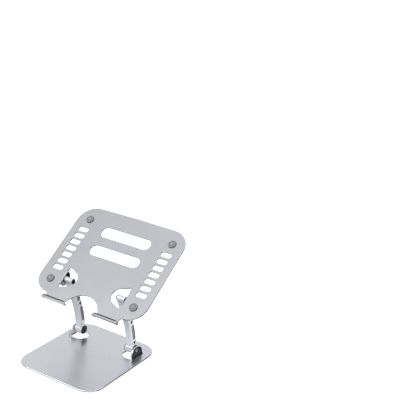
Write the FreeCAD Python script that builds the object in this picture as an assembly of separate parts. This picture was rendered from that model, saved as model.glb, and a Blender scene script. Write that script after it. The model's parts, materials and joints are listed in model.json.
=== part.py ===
"""Foldable sheet-metal laptop stand: a base plate, two curved arms and a slotted top plate.

Frame: millimetres, +Z up, +X to the user's right, -Y towards the user.
The origin is the centre of the rubber mat's underside, on the desk. The stand is modelled raised for use:
arms leaning towards the user, top plate tilted with its front hooks low.
Left and right are the user's, so the left side has negative X.
"""
import FreeCAD, Part
import math
import os

V = FreeCAD.Vector
X_AXIS = V(1, 0, 0)
Y_AXIS = V(0, 1, 0)
Z_AXIS = V(0, 0, 1)
ORIGIN = V(0, 0, 0)
SIDES = (("left", -1), ("right", 1))

# ---- Sheet metal ----
SHEET = 3.0                 # thickness of the base plate and the top plate
EDGE_BREAK = 0.4            # chamfer on the sheet edges
EAR_INNER = 74.5            # inner face of the bent ears and tabs, from the middle plane
EAR_OUTER = EAR_INNER + SHEET

# ---- Base plate ----
BASE_WIDTH = 190.5
BASE_DEPTH = 206.5
BASE_CORNER = 33.0
EAR_Y = 54.5                # ears and lower pivots lie this far behind the centre
EAR_RADIUS = 16.5           # half-width of an ear and the radius of its round top
EAR_TOP = 24.2
EAR_BEND = 3.0              # inner radius of the bend
EAR_HOLE_CENTRE = 64.0      # centre of the round end of the hole that each ear leaves
EAR_HOLE_RADIUS = 17.0
MAT_THICKNESS = 1.2         # rubber mat bonded under the base plate
MAT_INSET = 3.0

# ---- Arms ----
PIVOT_LOW_Z = 17.0          # above the base plate's underside
PIVOT_HIGH_Y = 21.8
PIVOT_HIGH_Z = 135.7
ARM_RADIUS = 210.0          # the arm's middle line is an arc at the foot, then straight to the upper pivot
FOOT_LEAN = 1.6             # lean of the arc towards the user where it starts, in degrees
ARM_HALF_DEPTH = 6.7
ARM_INNER = 54.8
ARM_OUTER = 72.5
ARM_CHAMFER = 2.2
KNUCKLE_LOW = 9.4
KNUCKLE_HIGH = 6.0
KNUCKLE_CHAMFER = 0.6
NECK_SHORT = 3.5            # the straight bar stops this far below the upper pivot
PANEL_HALF = 4.1            # half-width of the sunk side panels
PANEL_DEPTH = 0.9
PANELS = ((26.4, 53.4), (76.1, 98.2))       # ends, as distances along the arm from the lower pivot
WEB_POCKET = 63.9           # three-cornered pocket between the panels
HEEL_POCKET = 14.1          # and one on the outer face only, above the ear
WEB_REACH = 4.2
WEB_CORNER = 0.8
FOLD_FLAT = 56.0            # turn of the arm from here to its lowest place
NECK_START = 12.0           # relief on the rear of the neck, so the folded arm clears the plate
NECK_RAMP = 5.0
NECK_RISE = 4.0
NECK_LENGTH = 40.0
NECK_CLEARANCE = 0.7
GAP_PIECE = 0.12            # play between an arm and the pieces that rub on it

# ---- Hinge hardware ----
LOWER = {"bolt": 3.0, "pocket": 6.6, "disc": 5.9, "nut": 10.0, "washer": 8.4, "cap": 8.8, "cap_top": 53.2}
UPPER = {"bolt": 2.5, "pocket": 5.0, "disc": 4.6, "nut": 8.0, "washer": 5.6, "cap": 5.4, "cap_top": 52.0}
BORE_PLAY = 0.05
HEAD_RADIUS = 4.4
HEAD_HEIGHT = 1.7
PEEN_PROUD = 0.3
POCKET_FLOOR = 63.5
NUT_FACE = 57.8
NUT_SEAT = 60.8
NUT_CROWN = 0.7
BOLT_END = 57.4
DISC_SHEET = 0.7
DISC_PLAY = 0.15
CAP_EDGE = 0.6              # chamfer on a cap, as a share of its height
CAP_SPIGOT = 1.0            # how far a cap presses into its pocket
CAP_WALL = 0.6
SOCKET_FLATS = 3.0          # hexagon socket in a domed head
SOCKET_DEPTH = 1.0
COVER_SHEET = 1.2           # plastic cover on an ear's outer face
COVER_MARGIN = 0.6
COVER_PLAY = 0.15
COVER_FLARE = 1.9

# ---- Top plate, in its own frame: u across, v to the rear, w up ----
PLATE_TILT = 35.7
PIVOT_BELOW = 7.2           # pivot axis below the plate's upper face
PIVOT_V = 6.5               # and behind the place from which v is counted
PLATE_WIDTH = 260.0
PLATE_REAR = 174.0          # v of the middle of the rear edge
REAR_BOW_RADIUS = 3640.0
REAR_CORNER = 38.4
PLATE_FRONT = -33.0
FRONT_CORNER = 35.7
NOTCH_RADIUS = 6.3
ARCH_RADIUS = 41.2
ARCH_CENTRE = -55.7
HOOK_INNER = -45.0          # inner face of the upturned lip
HOOK_TOP = 7.5
HOOK_BEND = 1.5
LIP_FROM, LIP_TO = 31.5, 92.5
LIP_BOTTOM = -2.2
SLOT_U = 101.2
SLOT_LENGTH = 23.5
SLOT_HEIGHT = 10.2
SLOT_COUNT = 7
SLOT_FIRST = 116.9
SLOT_PITCH = 15.67
LONG_SLOT_LENGTH = 118.4
LONG_SLOT_HEIGHT = 23.4
LONG_SLOTS = (125.3, 81.4)
RELIEF_FRONT = -16.3        # D-shaped relief beside each tab: fold line and round nose
RELIEF_REAR = 30.3
RELIEF_NOSE_U = 60.5
RELIEF_NOSE_V = 6.3
RELIEF_NOSE_RADIUS = 17.0
TAB_HALF = 15.0
TAB_BEND = 1.0
TAB_DROP = 21.5
PAD_U = 100.8
PAD_RADIUS = 8.3
PAD_HEIGHT = 2.2
PAD_RING = 4.6              # inner radius of the sunk ring
PAD_GROOVE = 0.6
PADS = (("rear", 142.5), ("front", -4.9))
LINER_SHEET = 2.1
LINER_INSET = 4.0
LINER_PROUD = 0.8
LINER_LIFT = 0.2

# ---- Derived places ----
PIVOT_LOW = V(0, EAR_Y, PIVOT_LOW_Z)
PIVOT_HIGH = V(0, PIVOT_HIGH_Y, PIVOT_HIGH_Z)


# ---- Helpers ----
def wire_face(edges):
    return Part.Face(Part.Wire(Part.__sortEdges__(edges)))


def line(a, b):
    return Part.LineSegment(a, b).toShape()


def arc(a, middle, b):
    return Part.Arc(a, middle, b).toShape()


def on_circle(centre, radius, angle, first=X_AXIS, second=Y_AXIS):
    turn = math.radians(angle)
    return centre + first * (radius * math.cos(turn)) + second * (radius * math.sin(turn))


def disc_x(radius, x0, x1, centre):
    """Cylinder about an axis along X through centre."""
    return Part.makeCylinder(radius, x1 - x0, V(x0, centre.y, centre.z), X_AXIS)


def turned(points, centre):
    """Solid turned about the X-parallel axis through centre; points are (x, radius) pairs."""
    corners = [V(x, centre.y, centre.z + radius) for x, radius in points]
    wire = Part.makePolygon(corners + corners[:1])
    return Part.Face(wire).revolve(centre, X_AXIS, 360)


def obround(centre_u, centre_v, length, height, z0, z1):
    """Upright slot cutter, long side along X, with fully round ends."""
    r = height / 2
    reach = length / 2 - r
    lo, hi = centre_v - r, centre_v + r
    left, right = centre_u - reach, centre_u + reach
    face = wire_face([
        line(V(left, lo, z0), V(right, lo, z0)),
        arc(V(right, lo, z0), V(right + r, centre_v, z0), V(right, hi, z0)),
        line(V(right, hi, z0), V(left, hi, z0)),
        arc(V(left, hi, z0), V(left - r, centre_v, z0), V(left, lo, z0)),
    ])
    return face.extrude(V(0, 0, z1 - z0))


def break_edges(solid, z_levels, size):
    """Chamfers every edge that lies flat at one of the given heights."""
    chosen = [
        edge for edge in solid.Edges
        if any(abs(edge.BoundBox.ZMin - z) < 1e-6 and abs(edge.BoundBox.ZMax - z) < 1e-6 for z in z_levels)
    ]
    return solid.makeChamfer(size, chosen)


def mirrored(shape, side):
    """Shapes are drawn on the right (+X); the left one is their mirror image."""
    return shape if side > 0 else shape.mirror(ORIGIN, X_AXIS)


def folded_flange(face_x, bend, root_z, tip_z, up, y0, y1):
    """L section bent from a sheet: flat root outside, flange standing up (up=1) or hanging (up=-1).

    face_x is the flange's inner face; the sheet's outer side of the bend starts at root_z.
    """
    centre_x = face_x + SHEET + bend
    centre_z = root_z + up * (SHEET + bend)
    centre = V(centre_x, y0, centre_z)
    outer = SHEET + bend

    def at(radius, angle):
        return on_circle(centre, radius, angle, V(-1, 0, 0), V(0, 0, -up))

    face = wire_face([
        line(at(outer, 90), at(bend, 90)),
        arc(at(bend, 90), at(bend, 45), at(bend, 0)),
        line(at(bend, 0), V(face_x + SHEET, y0, tip_z)),
        line(V(face_x + SHEET, y0, tip_z), V(face_x, y0, tip_z)),
        line(V(face_x, y0, tip_z), at(outer, 0)),
        arc(at(outer, 0), at(outer, 45), at(outer, 90)),
    ])
    return face.extrude(V(0, y1 - y0, 0))


def round_tipped(y_centre, half, root_z, round_z, x0, x1):
    """Prism along X: straight sides from root_z, then a half-circle of radius half about round_z."""
    tip = round_z + math.copysign(half, round_z - root_z)
    face = wire_face([
        line(V(x0, y_centre - half, root_z), V(x0, y_centre + half, root_z)),
        line(V(x0, y_centre + half, root_z), V(x0, y_centre + half, round_z)),
        arc(V(x0, y_centre + half, round_z), V(x0, y_centre, tip), V(x0, y_centre - half, round_z)),
        line(V(x0, y_centre - half, round_z), V(x0, y_centre - half, root_z)),
    ])
    return face.extrude(V(x1 - x0, 0, 0))


# ---- Base ----
def rounded_plate(half_w, half_d, r, z0, z1):
    edges = []
    for turn in range(4):
        sx = (1, -1, -1, 1)[turn]
        sy = (1, 1, -1, -1)[turn]
        centre = V(sx * (half_w - r), sy * (half_d - r), z0)
        middle = on_circle(centre, r, 45 + 90 * turn)
        edges.append(arc(centre + V(sx * r, 0, 0), middle, centre + V(0, sy * r, 0)))
    for s in (-1, 1):
        edges.append(line(V(s * half_w, -half_d + r, z0), V(s * half_w, half_d - r, z0)))
        edges.append(line(V(-half_w + r, s * half_d, z0), V(half_w - r, s * half_d, z0)))
    return wire_face(edges).extrude(V(0, 0, z1 - z0))


def ear_hole(outer_x, margin, z0, z1):
    """Cutter for the hole beside the right ear, grown by margin."""
    radius = EAR_HOLE_RADIUS + margin
    box = Part.makeBox(outer_x - EAR_HOLE_CENTRE, 2 * radius, z1 - z0, V(EAR_HOLE_CENTRE, EAR_Y - radius, z0))
    return box.fuse(Part.makeCylinder(radius, z1 - z0, V(EAR_HOLE_CENTRE, EAR_Y, z0)))


def base_plate():
    plate = rounded_plate(BASE_WIDTH / 2, BASE_DEPTH / 2, BASE_CORNER, 0, SHEET)
    bend_start = EAR_OUTER + EAR_BEND
    for _, side in SIDES:
        plate = plate.cut(mirrored(ear_hole(bend_start, 0, 0, SHEET), side))
    plate = break_edges(plate.removeSplitter(), (0, SHEET), EDGE_BREAK)
    for _, side in SIDES:
        ear = folded_flange(EAR_INNER, EAR_BEND, 0, EAR_TOP + 1, 1, EAR_Y - EAR_RADIUS, EAR_Y + EAR_RADIUS)
        outline = round_tipped(EAR_Y, EAR_RADIUS, -1, EAR_TOP - EAR_RADIUS, EAR_INNER - 1, bend_start)
        corner = V(bend_start - EDGE_BREAK, EAR_Y - EAR_RADIUS, 0)
        root = Part.makeBox(2 * EDGE_BREAK, 2 * EAR_RADIUS, SHEET, corner)
        ear = ear.common(outline).fuse(root)
        ear = ear.cut(disc_x(LOWER["bolt"] + BORE_PLAY, EAR_INNER - 1, EAR_OUTER + 1, PIVOT_LOW))
        plate = plate.fuse(mirrored(ear, side))
    return plate.removeSplitter()


def base_mat():
    """Rubber sheet under the base plate, cut clear of the ears and their holes."""
    mat = rounded_plate(BASE_WIDTH / 2 - MAT_INSET, BASE_DEPTH / 2 - MAT_INSET, BASE_CORNER - MAT_INSET,
                        -MAT_THICKNESS, 0)
    for _, side in SIDES:
        hole = ear_hole(EAR_OUTER + EAR_BEND + MAT_INSET, MAT_INSET, -MAT_THICKNESS, 0)
        mat = mat.cut(mirrored(hole, side))
    return break_edges(mat.removeSplitter(), (-MAT_THICKNESS,), EDGE_BREAK)


# ---- Arms ----
def arm_curve():
    """Centre of the arc, and the angles at which it starts and gives way to its tangent."""
    start = math.radians(FOOT_LEAN)
    centre = PIVOT_LOW - V(0, math.cos(start), math.sin(start)) * ARM_RADIUS
    reach = PIVOT_HIGH - centre
    end = math.atan2(reach.z, reach.y) - math.acos(ARM_RADIUS / reach.Length)
    return centre, start, end


def arc_length():
    _, start, end = arm_curve()
    return ARM_RADIUS * (end - start)


def arm_length():
    reach = PIVOT_HIGH - arm_curve()[0]
    return arc_length() + math.sqrt(reach.Length ** 2 - ARM_RADIUS ** 2)


def along_arm(distance, offset=0.0, x=0.0):
    """Point at a distance up the arm's middle line, moved off it to the rear by offset."""
    centre, start, _ = arm_curve()
    turn = start + min(distance, arc_length()) / ARM_RADIUS
    rearward = V(0, math.cos(turn), math.sin(turn))
    upward = V(0, -math.sin(turn), math.cos(turn))
    return centre + rearward * (ARM_RADIUS + offset) + upward * max(0, distance - arc_length()) + V(x, 0, 0)


def side_edge(low, high, offset, x):
    """Edge that follows the arm; it lies either on the arc or on the straight."""
    if low >= arc_length():
        return line(along_arm(low, offset, x), along_arm(high, offset, x))
    return arc(along_arm(low, offset, x), along_arm((low + high) / 2, offset, x), along_arm(high, offset, x))


def arm_band(low, high, half, x0, x1):
    """Prism that follows the arm between two distances, with round ends."""
    face = wire_face([
        side_edge(low, high, -half, x0),
        arc(along_arm(high, -half, x0), along_arm(high + half, 0, x0), along_arm(high, half, x0)),
        side_edge(low, high, half, x0),
        arc(along_arm(low, half, x0), along_arm(low - half, 0, x0), along_arm(low, -half, x0)),
    ])
    return face.extrude(V(x1 - x0, 0, 0))


def arm_section(distance):
    """Chamfered section across the arm."""
    c = ARM_CHAMFER
    outline = [
        (ARM_INNER + c, -ARM_HALF_DEPTH), (ARM_OUTER - c, -ARM_HALF_DEPTH),
        (ARM_OUTER, -ARM_HALF_DEPTH + c), (ARM_OUTER, ARM_HALF_DEPTH - c),
        (ARM_OUTER - c, ARM_HALF_DEPTH), (ARM_INNER + c, ARM_HALF_DEPTH),
        (ARM_INNER, ARM_HALF_DEPTH - c), (ARM_INNER, -ARM_HALF_DEPTH + c),
    ]
    corners = [along_arm(distance, offset, x) for x, offset in outline]
    return Part.Face(Part.makePolygon(corners + corners[:1]))


def arm_bar():
    """Bar bent round the arc, then straight up to just below the upper pivot."""
    centre, start, end = arm_curve()
    bent = arm_section(0).revolve(centre, X_AXIS, math.degrees(end - start))
    run = along_arm(arm_length() - NECK_SHORT) - along_arm(arc_length())
    return bent.fuse(arm_section(arc_length()).extrude(run))


def knuckle(radius, centre):
    c = KNUCKLE_CHAMFER
    return turned([(ARM_INNER, 0), (ARM_INNER, radius - c), (ARM_INNER + c, radius),
                   (ARM_OUTER - c, radius), (ARM_OUTER, radius - c), (ARM_OUTER, 0)], centre)


def web_pocket(distance, x0, x1):
    """Three-cornered pocket, its point low and its broad end up the arm."""
    top = distance + WEB_REACH
    corners = [along_arm(top, -PANEL_HALF, x0), along_arm(top, PANEL_HALF, x0),
               along_arm(distance - WEB_REACH, 0, x0)]
    prism = Part.Face(Part.makePolygon(corners + corners[:1])).extrude(V(x1 - x0, 0, 0))
    upright = [edge for edge in prism.Edges if edge.BoundBox.XLength > 0.5 * (x1 - x0)]
    return prism.makeFillet(WEB_CORNER, upright)


def neck_relief():
    """Cutter laid level over the folded arm, then turned back with it to the raised place."""
    x0, y0, z0 = ARM_INNER - 1, PIVOT_HIGH.y, PIVOT_HIGH.z
    level = z0 + PIVOT_BELOW - SHEET - NECK_CLEARANCE
    top = z0 + 2 * ARM_HALF_DEPTH
    corners = [V(x0, y0 + NECK_START - 2 * NECK_RAMP, top), V(x0, y0 + NECK_START, level + NECK_RISE),
               V(x0, y0 + NECK_START + NECK_RAMP, level), V(x0, y0 + NECK_START + NECK_LENGTH, level),
               V(x0, y0 + NECK_START + NECK_LENGTH, top)]
    prism = Part.Face(Part.makePolygon(corners + corners[:1])).extrude(V(ARM_OUTER - ARM_INNER + 2, 0, 0))
    return prism.rotated(PIVOT_HIGH, X_AXIS, -FOLD_FLAT)


def arm(side):
    body = arm_bar().fuse([knuckle(KNUCKLE_LOW, PIVOT_LOW), knuckle(KNUCKLE_HIGH, PIVOT_HIGH)])
    body = body.cut(neck_relief())
    faces = ((ARM_INNER - 1, ARM_INNER + PANEL_DEPTH), (ARM_OUTER - PANEL_DEPTH, ARM_OUTER + 1))
    for x0, x1 in faces:
        for share0, share1 in PANELS:
            body = body.cut(arm_band(share0, share1, PANEL_HALF, x0, x1))
        body = body.cut(web_pocket(WEB_POCKET, x0, x1))
    body = body.cut(web_pocket(HEEL_POCKET, *faces[1]))
    for pivot, size in ((PIVOT_LOW, LOWER), (PIVOT_HIGH, UPPER)):
        body = body.cut(disc_x(size["bolt"] + BORE_PLAY, ARM_INNER - 1, ARM_OUTER + 1, pivot))
        body = body.cut(disc_x(size["pocket"], ARM_INNER - 1, POCKET_FLOOR, pivot))
    return mirrored(body.removeSplitter(), side)


# ---- Hinge hardware ----
def lower_bolt():
    """Pivot bolt with a domed head and a hexagon socket."""
    shank = disc_x(LOWER["bolt"], BOLT_END, EAR_OUTER, PIVOT_LOW)
    ball = (HEAD_RADIUS ** 2 + HEAD_HEIGHT ** 2) / (2 * HEAD_HEIGHT)
    head_x = EAR_OUTER + HEAD_HEIGHT
    centre = V(head_x - ball, PIVOT_LOW.y, PIVOT_LOW.z)
    dome = Part.makeSphere(ball, centre).common(disc_x(HEAD_RADIUS + 1, EAR_OUTER, head_x + 1, PIVOT_LOW))
    socket = hexagon_bar(SOCKET_FLATS, head_x - SOCKET_DEPTH, head_x + 1, PIVOT_LOW)
    return shank.fuse(dome).removeSplitter().cut(socket)


def upper_bolt():
    """Pivot pin, peened over nearly flush with the tab."""
    return disc_x(UPPER["bolt"], BOLT_END, EAR_OUTER + PEEN_PROUD, PIVOT_HIGH)


def ear_cover():
    """Plastic cover on the ear's outer face, with a flared foot in the bend, open round the bolt head."""
    half = EAR_RADIUS - COVER_MARGIN
    outer = EAR_OUTER + COVER_SHEET
    toe = EAR_OUTER + EAR_BEND
    bend_z = SHEET + EAR_BEND
    cover = round_tipped(EAR_Y, half, bend_z, EAR_TOP - EAR_RADIUS, EAR_OUTER, outer)
    outline = [(EAR_OUTER, bend_z), (outer, bend_z + COVER_FLARE), (toe, SHEET), (EAR_OUTER, SHEET)]
    corners = [V(x, EAR_Y - half, z) for x, z in outline]
    foot = Part.Face(Part.makePolygon(corners + corners[:1])).extrude(V(0, 2 * half, 0))
    hollow = Part.makeCylinder(EAR_BEND - COVER_PLAY, 2 * half, V(toe, EAR_Y - half, bend_z), Y_AXIS)
    cover = cover.fuse(foot.common(hollow)).removeSplitter()
    return cover.cut(disc_x(HEAD_RADIUS + 2 * COVER_PLAY, EAR_OUTER, outer, PIVOT_LOW))


def friction_washer(pivot, size):
    ring = disc_x(size["washer"], ARM_OUTER + GAP_PIECE, EAR_INNER, pivot)
    return ring.cut(disc_x(size["bolt"] + BORE_PLAY, ARM_OUTER, EAR_INNER + 1, pivot))


def disc_springs(pivot, size):
    """Two conical spring washers, set point to point between the pocket's floor and the nut."""
    hole, rim = size["bolt"] + DISC_PLAY, size["disc"]
    far, near = POCKET_FLOOR - GAP_PIECE, NUT_SEAT
    middle = (far + near) / 2
    thick = DISC_SHEET
    first = [(far, rim), (far - thick, rim), (middle, hole), (middle + thick, hole)]
    second = [(near, rim), (near + thick, rim), (middle, hole), (middle - thick, hole)]
    return Part.Compound([turned(first, pivot), turned(second, pivot)])


def hexagon_bar(flats, x0, x1, pivot):
    corner = flats / math.sqrt(3)
    points = [on_circle(V(x0, pivot.y, pivot.z), corner, 60 * k, Y_AXIS, Z_AXIS) for k in range(6)]
    return Part.Face(Part.makePolygon(points + points[:1])).extrude(V(x1 - x0, 0, 0))


def lock_nut(pivot, size):
    corner = size["nut"] / math.sqrt(3)
    prism = hexagon_bar(size["nut"], NUT_FACE, NUT_SEAT, pivot)
    crown = turned([(NUT_FACE, 0), (NUT_FACE, corner - NUT_CROWN), (NUT_FACE + NUT_CROWN, corner),
                    (NUT_SEAT, corner), (NUT_SEAT, 0)], pivot)
    return prism.common(crown).cut(disc_x(size["bolt"], NUT_FACE - 1, NUT_SEAT + 1, pivot))


def knuckle_cap(pivot, size):
    """Press-in cover over the nut, on the arm's inner face."""
    radius, top = size["cap"], size["cap_top"]
    edge = CAP_EDGE * (ARM_INNER - top)
    dome = turned([(ARM_INNER, 0), (ARM_INNER, radius), (top + edge, radius),
                   (top, radius - edge), (top, 0)], pivot)
    reach = ARM_INNER + CAP_SPIGOT
    spigot = disc_x(size["pocket"] - GAP_PIECE, ARM_INNER, reach, pivot)
    spigot = spigot.cut(disc_x(size["pocket"] - GAP_PIECE - CAP_WALL, ARM_INNER, reach, pivot))
    return dome.fuse(spigot).removeSplitter()


# ---- Top plate ----
def set_plate(shape):
    """Moves a shape from the plate's own frame to the raised, tilted place."""
    placed = shape.copy()
    placed.translate(V(0, -PIVOT_V, PIVOT_BELOW))
    placed.rotate(ORIGIN, X_AXIS, PLATE_TILT)
    placed.translate(PIVOT_HIGH)
    return placed


def plate_outline():
    """Half outline on the right and its mirror image, from the rear edge round to the arch."""
    half = PLATE_WIDTH / 2
    rear_centre = V(0, PLATE_REAR - REAR_BOW_RADIUS, 0)
    corner_u = half - REAR_CORNER
    rise = math.sqrt((REAR_BOW_RADIUS - REAR_CORNER) ** 2 - corner_u ** 2)
    rear_corner = rear_centre + V(corner_u, rise, 0)
    tangent = math.degrees(math.atan2(rise, corner_u))
    rear_point = on_circle(rear_corner, REAR_CORNER, tangent)
    side_rear = rear_corner + V(REAR_CORNER, 0, 0)
    front_corner = V(half - FRONT_CORNER, PLATE_FRONT + FRONT_CORNER, 0)
    side_front = front_corner + V(FRONT_CORNER, 0, 0)
    notch_top = front_corner - V(0, FRONT_CORNER, 0)
    notch_centre = notch_top - V(0, NOTCH_RADIUS, 0)
    tongue_outer = notch_centre - V(NOTCH_RADIUS, 0, 0)
    tongue_end = HOOK_INNER + HOOK_BEND
    arch = V(0, ARCH_CENTRE, 0)
    tongue_inner = V(math.sqrt(ARCH_RADIUS ** 2 - (tongue_end - ARCH_CENTRE) ** 2), tongue_end, 0)
    right = [
        arc(rear_point, on_circle(rear_corner, REAR_CORNER, tangent / 2), side_rear),
        line(side_rear, side_front),
        arc(side_front, on_circle(front_corner, FRONT_CORNER, -45), notch_top),
        arc(notch_top, on_circle(notch_centre, NOTCH_RADIUS, 135), tongue_outer),
        line(tongue_outer, V(tongue_outer.x, tongue_end, 0)),
        line(V(tongue_outer.x, tongue_end, 0), tongue_inner),
    ]
    left = [edge.mirror(ORIGIN, X_AXIS) for edge in right]
    rear = arc(rear_point, V(0, PLATE_REAR, 0), V(-rear_point.x, rear_point.y, 0))
    front = arc(tongue_inner, V(0, ARCH_CENTRE + ARCH_RADIUS, 0), V(-tongue_inner.x, tongue_inner.y, 0))
    return right + left + [rear, front], tongue_inner.x, tongue_outer.x


def relief_cutter():
    """D-shaped relief: a straight fold line, sides that close in, and a round nose towards the middle."""
    nose = V(RELIEF_NOSE_U, RELIEF_NOSE_V, -SHEET)
    corners = []
    for v, turn in ((RELIEF_REAR, 1), (RELIEF_FRONT, -1)):
        start = V(EAR_INNER, v, -SHEET)
        reach = start - nose
        aim = math.degrees(math.atan2(reach.y, reach.x))
        tangent = aim + turn * math.degrees(math.acos(RELIEF_NOSE_RADIUS / reach.Length))
        corners.append((start, on_circle(nose, RELIEF_NOSE_RADIUS, tangent)))
    (rear, rear_touch), (front, front_touch) = corners
    face = wire_face([
        line(front, rear),
        line(rear, rear_touch),
        arc(rear_touch, nose - V(RELIEF_NOSE_RADIUS, 0, 0), front_touch),
        line(front_touch, front),
    ])
    return face.extrude(V(0, 0, SHEET))


def hook(tongue_inner, tongue_outer):
    """Upturned lip at the front of a tongue, wider than the tongue and round at its ends."""
    bend = HOOK_BEND
    centre = V(tongue_inner, HOOK_INNER + bend, bend)

    def at(radius, angle):
        return on_circle(centre, radius, angle, V(0, -1, 0), V(0, 0, -1))

    section = wire_face([
        line(at(bend, 90), at(bend + SHEET, 90)),
        arc(at(bend + SHEET, 90), at(bend + SHEET, 45), at(bend + SHEET, 0)),
        line(at(bend + SHEET, 0), at(bend, 0)),
        arc(at(bend, 0), at(bend, 45), at(bend, 90)),
    ])
    curl = section.extrude(V(tongue_outer - tongue_inner, 0, 0))
    height = HOOK_TOP - LIP_BOTTOM
    lip = obround((LIP_FROM + LIP_TO) / 2, 0, LIP_TO - LIP_FROM, height, 0, SHEET)
    lip.rotate(ORIGIN, X_AXIS, 90)
    lip.translate(V(0, HOOK_INNER, HOOK_TOP - height / 2))
    below = Part.makeBox(tongue_outer - tongue_inner, SHEET + 1, bend - LIP_BOTTOM,
                         V(tongue_inner, HOOK_INNER - SHEET, LIP_BOTTOM))
    below = below.cut(Part.makeCylinder(bend + SHEET, tongue_outer - tongue_inner, centre, X_AXIS))
    return lip.cut(below).fuse(curl).removeSplitter()


def top_plate():
    edges, tongue_inner, tongue_outer = plate_outline()
    plate = wire_face(edges).extrude(V(0, 0, -SHEET))
    cutters = [obround(0, v, LONG_SLOT_LENGTH, LONG_SLOT_HEIGHT, -SHEET, 0) for v in LONG_SLOTS]
    for _, side in SIDES:
        for k in range(SLOT_COUNT):
            v = SLOT_FIRST - k * SLOT_PITCH
            cutters.append(obround(side * SLOT_U, v, SLOT_LENGTH, SLOT_HEIGHT, -SHEET, 0))
        cutters.append(mirrored(relief_cutter(), side))
    plate = plate.cut(cutters)
    plate = break_edges(plate, (-SHEET, 0), EDGE_BREAK)
    bend_start = EAR_OUTER + TAB_BEND
    for _, side in SIDES:
        low, high = PIVOT_V - TAB_HALF, PIVOT_V + TAB_HALF
        seat = Part.makeBox(bend_start - EAR_INNER + 1, 2 * TAB_HALF, SHEET, V(EAR_INNER - 1, low, -SHEET))
        plate = plate.cut(mirrored(seat, side))
        tab = folded_flange(EAR_INNER, TAB_BEND, 0, -TAB_DROP - 1, -1, low, high)
        tab = tab.common(round_tipped(PIVOT_V, TAB_HALF, 1, TAB_HALF - TAB_DROP, EAR_INNER - 1, bend_start))
        axis = V(0, PIVOT_V, -PIVOT_BELOW)
        tab = tab.cut(disc_x(UPPER["bolt"] + BORE_PLAY, EAR_INNER - 1, EAR_OUTER + 1, axis))
        lip = hook(tongue_inner, tongue_outer)
        joint = Part.makeBox(tongue_outer - tongue_inner, 2 * EDGE_BREAK, SHEET,
                             V(tongue_inner, HOOK_INNER + HOOK_BEND, -SHEET))
        plate = plate.fuse([mirrored(tab, side), mirrored(lip, side), mirrored(joint, side)])
    return set_plate(plate.removeSplitter())


def plate_pad(u, v):
    """Round rubber pad with a sunk ring round its middle."""
    sunk = PAD_HEIGHT - PAD_GROOVE
    profile = [(0, 0), (PAD_RADIUS, 0), (PAD_RADIUS, sunk), (PAD_RADIUS - PAD_GROOVE, PAD_HEIGHT),
               (PAD_RING + 2 * PAD_GROOVE, PAD_HEIGHT), (PAD_RING + PAD_GROOVE, sunk),
               (PAD_RING, sunk), (PAD_RING - PAD_GROOVE, PAD_HEIGHT), (0, PAD_HEIGHT)]
    corners = [V(u + r, v, w) for r, w in profile]
    return set_plate(Part.Face(Part.makePolygon(corners + corners[:1])).revolve(V(u, v, 0), Z_AXIS, 360))


def hook_liner():
    """Rubber strip on the inner face of a hook's lip."""
    low = HOOK_BEND + LINER_LIFT
    height = HOOK_TOP + LINER_PROUD - low
    length = LIP_TO - LIP_FROM - 2 * LINER_INSET
    strip = obround((LIP_FROM + LIP_TO) / 2, 0, length, height, 0, LINER_SHEET)
    strip.rotate(ORIGIN, X_AXIS, 90)
    strip.translate(V(0, HOOK_INNER + LINER_SHEET, low + height / 2))
    return strip


# ---- Assembly ----
def build():
    nodes = {"base_plate": base_plate(), "base_mat": base_mat(), "top_plate": top_plate()}
    for row, v in PADS:
        for name, side in SIDES:
            nodes[f"pad_{row}_{name}"] = plate_pad(side * PAD_U, v)
    for name, side in SIDES:
        nodes[f"arm_{name}"] = arm(side)
        nodes[f"ear_cover_{name}"] = mirrored(ear_cover(), side)
        nodes[f"hook_liner_{name}"] = set_plate(mirrored(hook_liner(), side))
        for level, pivot, size in (("lower", PIVOT_LOW, LOWER), ("upper", PIVOT_HIGH, UPPER)):
            pieces = {
                "pivot_bolt": lower_bolt() if level == "lower" else upper_bolt(),
                "friction_washer": friction_washer(pivot, size),
                "disc_springs": disc_springs(pivot, size),
                "lock_nut": lock_nut(pivot, size),
                "knuckle_cap": knuckle_cap(pivot, size),
            }
            for piece, shape in pieces.items():
                nodes[f"{level}_{piece}_{name}"] = mirrored(shape, side)
    lift = V(0, 0, MAT_THICKNESS)
    return {node: shape.translated(lift) for node, shape in nodes.items()}


os.makedirs("parts", exist_ok=True)
for node, shape in build().items():
    shape.exportStep(f"parts/{node}.step")
    solids = len(shape.Solids)
    box = shape.BoundBox
    low = f"{box.XMin:.1f} {box.YMin:.1f} {box.ZMin:.1f}"
    high = f"{box.XMax:.1f} {box.YMax:.1f} {box.ZMax:.1f}"
    print(f"{node:28s} solids {solids} valid {shape.isValid()} volume {shape.Volume:.1f} from {low} to {high}")
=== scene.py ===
import json
import math

import bpy
from mathutils import Matrix, Vector


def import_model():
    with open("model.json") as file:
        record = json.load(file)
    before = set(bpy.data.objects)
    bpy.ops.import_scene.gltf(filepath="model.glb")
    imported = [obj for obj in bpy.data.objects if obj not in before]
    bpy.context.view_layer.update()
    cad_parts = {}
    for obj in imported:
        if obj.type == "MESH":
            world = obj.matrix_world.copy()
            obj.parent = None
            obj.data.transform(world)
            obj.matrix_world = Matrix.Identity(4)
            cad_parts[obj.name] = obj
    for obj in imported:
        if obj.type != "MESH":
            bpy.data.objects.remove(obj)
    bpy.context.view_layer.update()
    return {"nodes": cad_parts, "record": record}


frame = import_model()


# ---- Node helpers ----
def fill_ramp(node, stops):
    """Set a colour ramp's stops. A stop's colour is three numbers, or one for a grey."""
    elements = node.color_ramp.elements
    while len(elements) < len(stops):
        elements.new(0.5)
    for element, (position, colour) in zip(elements, stops):
        element.position = position
        element.color = (*colour, 1.0) if isinstance(colour, tuple) else (colour, colour, colour, 1.0)


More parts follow.
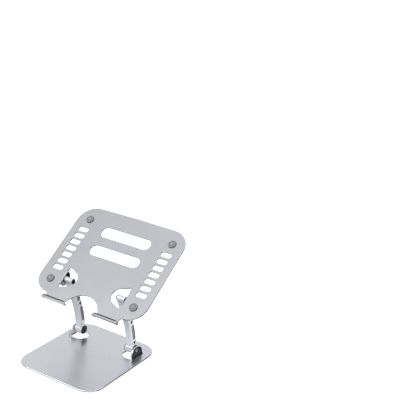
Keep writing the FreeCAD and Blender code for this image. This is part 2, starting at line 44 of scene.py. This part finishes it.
class Nodes:
    """A material's node tree, with short calls for the nodes used here."""

    def __init__(self, name):
        self.material = bpy.data.materials.new(name)
        self.material.use_nodes = True
        self.tree = self.material.node_tree
        self.shader = self.tree.nodes["Principled BSDF"]
        self.coords = self.tree.nodes.new("ShaderNodeTexCoord")

    def link(self, source, target):
        self.tree.links.new(source, target)

    def set(self, **values):
        """Set the shader's own sockets. An underscore stands for a space in a socket's name."""
        for key, value in values.items():
            self.shader.inputs[key.replace("_", " ")].default_value = value

    def axis(self, where, which):
        node = self.tree.nodes.new("ShaderNodeSeparateXYZ")
        self.link(self.coords.outputs[where], node.inputs["Vector"])
        return node.outputs[which]

    def lean(self, direction):
        """How squarely the surface faces a direction that has no X part: 1 is fully."""
        return self.math("ADD", self.math("MULTIPLY", self.axis("Normal", "Y"), direction[1]),
                         self.math("MULTIPLY", self.axis("Normal", "Z"), direction[2]))

    def near(self, y, z, reach):
        """1 within reach of a line along X, seen in the object's own coordinates, and 0 beyond it."""
        dy = self.math("SUBTRACT", self.axis("Object", "Y"), y)
        dz = self.math("SUBTRACT", self.axis("Object", "Z"), z)
        square = self.math("ADD", self.math("MULTIPLY", dy, dy), self.math("MULTIPLY", dz, dz))
        return self.math("LESS_THAN", square, reach * reach)

    def noise(self, scale, detail=3.0, rough=0.5, stretch=None):
        node = self.tree.nodes.new("ShaderNodeTexNoise")
        node.inputs["Scale"].default_value = scale
        node.inputs["Detail"].default_value = detail
        node.inputs["Roughness"].default_value = rough
        vector = self.coords.outputs["Object"]
        if stretch:
            mapping = self.tree.nodes.new("ShaderNodeMapping")
            mapping.inputs["Scale"].default_value = stretch
            self.link(vector, mapping.inputs["Vector"])
            vector = mapping.outputs["Vector"]
        self.link(vector, node.inputs["Vector"])
        return node.outputs["Fac"]

    def ramp(self, fac, stops):
        node = self.tree.nodes.new("ShaderNodeValToRGB")
        fill_ramp(node, stops)
        self.link(fac, node.inputs["Fac"])
        return node.outputs["Color"]

    def span(self, fac, low, high, from_low=0.0, from_high=1.0):
        node = self.tree.nodes.new("ShaderNodeMapRange")
        node.inputs["From Min"].default_value = from_low
        node.inputs["From Max"].default_value = from_high
        node.inputs["To Min"].default_value = low
        node.inputs["To Max"].default_value = high
        self.link(fac, node.inputs["Value"])
        return node.outputs["Result"]

    def mix(self, fac, a, b):
        node = self.tree.nodes.new("ShaderNodeMix")
        node.data_type = "RGBA"
        self.link(fac, node.inputs["Factor"])
        for value, socket in ((a, node.inputs["A"]), (b, node.inputs["B"])):
            if isinstance(value, tuple):
                socket.default_value = (*value, 1.0)
            else:
                self.link(value, socket)
        return node.outputs["Result"]

    def math(self, operation, *values):
        node = self.tree.nodes.new("ShaderNodeMath")
        node.operation = operation
        for value, socket in zip(values, node.inputs):
            if isinstance(value, (int, float)):
                socket.default_value = value
            else:
                self.link(value, socket)
        return node.outputs["Value"]

    def bump(self, height, distance, strength, after=None):
        node = self.tree.nodes.new("ShaderNodeBump")
        node.inputs["Distance"].default_value = distance
        node.inputs["Strength"].default_value = strength
        self.link(height, node.inputs["Height"])
        if after is not None:
            self.link(after, node.inputs["Normal"])
        self.link(node.outputs["Normal"], self.shader.inputs["Normal"])
        return node.outputs["Normal"]


def shade(colour, factor):
    return tuple(min(1.0, channel * factor) for channel in colour)


# ---- Materials ----
ARM_MIDDLE = 0.06365        # middle of an arm's thickness, from the stand's middle plane
ARM_HALF_WIDTH = 0.00885
CHAMFER_FACING = 0.7071     # share of the surface's direction that points sideways on a chamfer
SIDE_FACING = 0.98          # above this share, the face is an arm's flat side
ARM_POCKETS = ((0.0431, 0.0808), (0.0536, 0.0323))      # y and z of the three-cornered pockets
POCKET_REACH = 0.0055
PANEL_MARGIN = 0.0004       # a side face sunk at least this far is a panel's floor
SHEET_FACING = 0.85         # below this share of a sheet's own direction, the face is a cut edge
CUT_ROUGH = 0.12
CHAMFER_ROUGH = 0.20
# Pale colour of the polished chamfers, which is also a painted highlight on the arms' flat side rims.
RIM_POLISH_AND_HIGHLIGHT = (0.93, 0.935, 0.94)
# Painted shade: near-black for the three-cornered pockets in the arms' sides.
POCKET_PAINTED_SHADE = (0.02, 0.02, 0.025)
# Painted light: the paler colour given to the ears' side faces.
EAR_PAINTED_LIGHT = (0.86, 0.87, 0.89)


def blasted_aluminium(name, colour, rough, up, ear_above=None):
    """Bead-blasted, clear-anodised sheet: even satin grey with a very fine grain.

    The cut edges, which are the faces that don't look along up, are smoother. Sideways faces above ear_above
    are the ears, painted paler and less metallic as painted light that lifts the shade between arm and ear.
    """
    n = Nodes(name)
    n.set(Metallic=1.0)
    cloud = n.noise(14.0, 4.0, 0.55)
    grain = n.noise(2600.0, 2.0, 0.6)
    tone = n.ramp(cloud, [(0.30, shade(colour, 0.975)), (0.70, shade(colour, 1.025))])
    speck = n.span(grain, 0.0, 0.08, 0.35, 0.75)
    finish = n.mix(speck, tone, shade(colour, 0.86))
    if ear_above is not None:
        # Painted light: the ears' side faces are made paler and less metallic to lift the shade between arm
        # and ear.
        side = n.math("GREATER_THAN", n.math("ABSOLUTE", n.axis("Normal", "X")), 0.9)
        ear_lift = n.math("MULTIPLY", side, n.math("GREATER_THAN", n.axis("Object", "Z"), ear_above))
        finish = n.mix(ear_lift, finish, EAR_PAINTED_LIGHT)
        n.link(n.math("SUBTRACT", 1.0, n.math("MULTIPLY", ear_lift, 0.75)), n.shader.inputs["Metallic"])
    n.link(finish, n.shader.inputs["Base Color"])
    cut = n.math("LESS_THAN", n.math("ABSOLUTE", n.lean(up)), SHEET_FACING)
    if ear_above is not None:
        cut = n.math("MULTIPLY", cut, n.math("LESS_THAN", n.axis("Object", "Z"), ear_above))
    satin = n.span(cloud, rough - 0.02, rough + 0.03, 0.3, 0.7)
    smoother = n.math("MULTIPLY", cut, rough - CUT_ROUGH)
    n.link(n.math("SUBTRACT", satin, smoother), n.shader.inputs["Roughness"])
    first = n.bump(grain, 0.00003, 0.3)
    n.bump(n.noise(260.0, 2.0, 0.5), 0.00002, 0.2, first)
    return n.material


def arm_aluminium(name, colour, rough, panel):
    """Satin arm: bright rims and 45-degree chamfers, and sunk side panels that are dull and darker. The
    chamfers are polished, the flat side rims' pale, less metallic finish is a painted highlight, and the
    three-cornered pockets are painted near-black as painted shade.
    """
    n = Nodes(name)
    n.set(Metallic=1.0)
    cloud = n.noise(22.0, 4.0, 0.55)
    grain = n.noise(2300.0, 2.0, 0.6)
    side = n.math("ABSOLUTE", n.axis("Normal", "X"))
    chamfer = n.math("COMPARE", side, CHAMFER_FACING, 0.08)
    rim = n.math("GREATER_THAN", side, SIDE_FACING)
    across = n.math("ABSOLUTE", n.math("SUBTRACT", n.math("ABSOLUTE", n.axis("Object", "X")), ARM_MIDDLE))
    sunk = n.math("LESS_THAN", across, ARM_HALF_WIDTH - PANEL_MARGIN)
    panel_floor = n.math("MULTIPLY", rim, sunk)
    rim_only = n.math("SUBTRACT", rim, panel_floor)
    bright = n.math("MAXIMUM", chamfer, rim_only)
    tone = n.ramp(cloud, [(0.30, shade(colour, 0.97)), (0.70, shade(colour, 1.03))])
    speck = n.span(grain, 0.0, 0.16, 0.35, 0.75)
    satin = n.mix(speck, tone, shade(colour, 0.86))
    # The chamfers are polished metal. On the flat side rims, the pale colour with less metal is a painted
    # highlight.
    polished_and_highlit = n.mix(bright, satin, RIM_POLISH_AND_HIGHLIGHT)
    finish = n.mix(panel_floor, polished_and_highlit, panel)
    # Painted shade: the sunk faces near each three-cornered pocket are painted near-black.
    for y, z in ARM_POCKETS:
        near = n.math("MULTIPLY", n.near(y, z, POCKET_REACH), sunk)
        finish = n.mix(near, finish, POCKET_PAINTED_SHADE)
    n.link(finish, n.shader.inputs["Base Color"])
    n.link(n.math("SUBTRACT", 1.0, n.math("MULTIPLY", rim, 0.65)), n.shader.inputs["Metallic"])
    base_rough = n.span(cloud, rough - 0.02, rough + 0.03, 0.3, 0.7)
    fall = n.math("MULTIPLY", chamfer, rough - CHAMFER_ROUGH)
    n.link(n.math("SUBTRACT", base_rough, fall), n.shader.inputs["Roughness"])
    n.bump(grain, 0.00003, 0.45)
    return n.material


def steel(name, colour, rough, turned=False):
    """Plated steel. Turned pieces have faint rings about the X axis."""
    n = Nodes(name)
    n.set(Metallic=1.0)
    cloud = n.noise(60.0, 3.0, 0.5)
    scratch = n.noise(900.0, 3.0, 0.6, (8.0, 1.0, 1.0) if turned else (1.0, 1.0, 8.0))
    tone = n.ramp(cloud, [(0.3, shade(colour, 0.94)), (0.7, shade(colour, 1.05))])
    n.link(tone, n.shader.inputs["Base Color"])
    n.link(n.span(scratch, rough, rough + 0.10, 0.35, 0.65), n.shader.inputs["Roughness"])
    n.bump(scratch, 0.00002, 0.3)
    return n.material


def rubber(name, colour, rough, grain_scale, depth, flat=None):
    """Moulded rubber: dusty tone changes and a fine pebbled skin.

    Given the direction of a pad's flat top, its sloped rims are darker. This darkening is painted shade.
    """
    n = Nodes(name)
    n.set(Metallic=0.0, Specular_IOR_Level=0.30)
    dust = n.noise(70.0, 5.0, 0.6)
    grain = n.noise(grain_scale, 3.0, 0.65)
    tone = n.ramp(dust, [(0.30, shade(colour, 0.86)), (0.72, shade(colour, 1.14))])
    finish = n.mix(n.span(grain, 0.0, 0.25, 0.4, 0.8), tone, shade(colour, 0.6))
    if flat:
        # Painted shade: the pad's sloped rims, which turn away from its flat top, are darkened.
        finish = n.mix(n.span(n.lean(flat), 1.0, 0.0, 0.80, 0.97), finish, shade(colour, 0.42))
    n.link(finish, n.shader.inputs["Base Color"])
    n.link(n.span(dust, rough - 0.05, rough + 0.07, 0.3, 0.7), n.shader.inputs["Roughness"])
    n.bump(grain, depth, 0.6)
    return n.material


def plastic(name, colour, rough):
    """Moulded black plastic with a light spark-eroded grain."""
    n = Nodes(name)
    n.set(Metallic=0.0, Specular_IOR_Level=0.40)
    cloud = n.noise(90.0, 3.0, 0.5)
    grain = n.noise(3200.0, 2.0, 0.5)
    tone = n.ramp(cloud, [(0.3, shade(colour, 0.8)), (0.7, shade(colour, 1.25))])
    n.link(tone, n.shader.inputs["Base Color"])
    n.link(n.span(grain, rough - 0.05, rough + 0.08, 0.3, 0.7), n.shader.inputs["Roughness"])
    n.bump(grain, 0.00003, 0.5)
    return n.material


UP = (0.0, 0.0, 1.0)
PLATE_TILT = math.radians(35.7)
PLATE_UP = (0.0, -math.sin(PLATE_TILT), math.cos(PLATE_TILT))
MATERIALS = {
    "base_metal": blasted_aluminium("base_metal", (0.60, 0.62, 0.66), 0.28, UP, ear_above=0.0075),
    "plate_metal": blasted_aluminium("plate_metal", (0.425, 0.430, 0.459), 0.30, PLATE_UP),
    "arm_metal": arm_aluminium("arm_metal", (0.60, 0.615, 0.64), 0.40, (0.27, 0.275, 0.30)),
    "bright_steel": steel("bright_steel", (0.50, 0.51, 0.54), 0.26, turned=True),
    "spring_steel": steel("spring_steel", (0.45, 0.45, 0.46), 0.28),
    "mat_rubber": rubber("mat_rubber", (0.030, 0.030, 0.032), 0.78, 1800.0, 0.00008),
    "pad_rubber": rubber("pad_rubber", (0.252, 0.255, 0.284), 0.62, 1500.0, 0.00005, PLATE_UP),
    "liner_rubber": rubber("liner_rubber", (0.030, 0.030, 0.034), 0.55, 1700.0, 0.00005),
    # The ear covers are near-black plastic. Their darkness also paints the shade and dark reflection on the
    # ears' outer faces.
    "ear_plastic": plastic("ear_plastic", (0.016, 0.017, 0.022), 0.34),
    "black_plastic": plastic("black_plastic", (0.006, 0.006, 0.008), 0.42),
}


def dress_nodes():
    for part in frame["record"]["subparts"]:
        node = frame["nodes"][part["node"]]
        material = MATERIALS[part["material_slot"]]
        if not node.material_slots:
            node.data.materials.append(material)
        for slot in node.material_slots:
            slot.material = material


# ---- Stage ----
FLAG = (0.567, 0.690, -0.449)       # direction of the black flag's middle
SURROUND = ((0.0, 0.80), (0.45, 0.88), (0.55, 0.95), (0.86, 0.98), (0.96, 1.45))    # brightness, low to high
FLAG_EDGE = ((0.0, 0.0), (0.80, 0.0), (0.88, 1.0), (1.0, 1.0))      # soft edge, from away to towards
FLOOR_HALF = 30.0
FLOOR_DROP = 0.0004                 # keeps the floor from touching the mat's underside
LIGHT_TARGET = (0.0, 0.0, 0.1)
CAMERA_PLACE = (0.98135, -1.18256, 0.89731)
CAMERA_AZIMUTH, CAMERA_ELEVATION, CAMERA_ROLL = (math.radians(angle) for angle in (32.13, 20.25, 2.88))
CAMERA_LENS = 80.9


def floor():
    """Plain pale paper, lit a little from itself so that it stays white, and unseen in the metal."""
    half = FLOOR_HALF
    mesh = bpy.data.meshes.new("floor")
    corners = [(-half, -half, 0), (half, -half, 0), (half, half, 0), (-half, half, 0)]
    mesh.from_pydata(corners, [], [(0, 1, 2, 3)])
    obj = bpy.data.objects.new("floor", mesh)
    bpy.context.scene.collection.objects.link(obj)
    n = Nodes("floor_paper")
    n.link(n.ramp(n.noise(3.0), [(0.3, 0.90), (0.7, 0.92)]), n.shader.inputs["Base Color"])
    n.set(Roughness=0.9, Specular_IOR_Level=0.0, Emission_Color=(1.0, 1.0, 1.0, 1.0), Emission_Strength=0.6)
    mesh.materials.append(n.material)
    obj.location.z = -FLOOR_DROP
    obj.visible_glossy = False


def area(name, place, size, power):
    light = bpy.data.lights.new(name, "AREA")
    light.shape = "RECTANGLE"
    light.size, light.size_y = size
    light.energy = power
    obj = bpy.data.objects.new(name, light)
    bpy.context.scene.collection.objects.link(obj)
    obj.location = place
    obj.rotation_euler = (Vector(LIGHT_TARGET) - Vector(place)).to_track_quat("-Z", "Y").to_euler()


def world():
    """Soft white studio surround with one black flag, low at the right rear, that darkens the cut edges."""
    w = bpy.data.worlds.new("studio")
    bpy.context.scene.world = w
    w.use_nodes = True
    tree = w.node_tree
    coords = tree.nodes.new("ShaderNodeTexCoord")

    def ramp(source, stops):
        """Grey by stops, for a source that runs from -1 to 1."""
        span = tree.nodes.new("ShaderNodeMapRange")
        span.inputs["From Min"].default_value = -1.0
        span.inputs["From Max"].default_value = 1.0
        tree.links.new(source, span.inputs["Value"])
        node = tree.nodes.new("ShaderNodeValToRGB")
        fill_ramp(node, stops)
        tree.links.new(span.outputs["Result"], node.inputs["Fac"])
        return node.outputs["Color"]

    axis = tree.nodes.new("ShaderNodeSeparateXYZ")
    tree.links.new(coords.outputs["Generated"], axis.inputs["Vector"])
    surround = ramp(axis.outputs["Z"], SURROUND)
    towards = tree.nodes.new("ShaderNodeVectorMath")
    towards.operation = "DOT_PRODUCT"
    towards.inputs[1].default_value = FLAG
    tree.links.new(coords.outputs["Generated"], towards.inputs[0])
    flag = ramp(towards.outputs["Value"], FLAG_EDGE)
    mix = tree.nodes.new("ShaderNodeMix")
    mix.data_type = "RGBA"
    tree.links.new(flag, mix.inputs["Factor"])
    tree.links.new(surround, mix.inputs["A"])
    mix.inputs["B"].default_value = (0.01, 0.01, 0.012, 1.0)
    background = tree.nodes["Background"]
    tree.links.new(mix.outputs["Result"], background.inputs["Color"])
    background.inputs["Strength"].default_value = 1.0


def camera():
    azimuth, elevation, roll = CAMERA_AZIMUTH, CAMERA_ELEVATION, CAMERA_ROLL
    forward = Vector((-math.sin(azimuth) * math.cos(elevation), math.cos(azimuth) * math.cos(elevation),
                      -math.sin(elevation)))
    right = Vector((math.cos(azimuth), math.sin(azimuth), 0.0))
    up = right.cross(forward)
    x_axis = right * math.cos(roll) + up * math.sin(roll)
    y_axis = up * math.cos(roll) - right * math.sin(roll)
    data = bpy.data.cameras.new("camera")
    data.sensor_width = 36.0
    data.lens = CAMERA_LENS
    data.clip_end = 100.0
    obj = bpy.data.objects.new("camera", data)
    bpy.context.scene.collection.objects.link(obj)
    turn = Matrix((x_axis, y_axis, -forward)).transposed()
    obj.matrix_world = Matrix.Translation(CAMERA_PLACE) @ turn.to_4x4()
    bpy.context.scene.camera = obj


def stage():
    bpy.context.scene.view_settings.view_transform = "Standard"
    bpy.context.scene.view_settings.look = "None"
    floor()
    world()
    area("key", (-0.7, -1.4, 1.5), (1.6, 1.2), 12.0)
    area("fill", (1.4, 0.6, 1.4), (1.4, 1.4), 6.0)


dress_nodes()
stage()
camera()
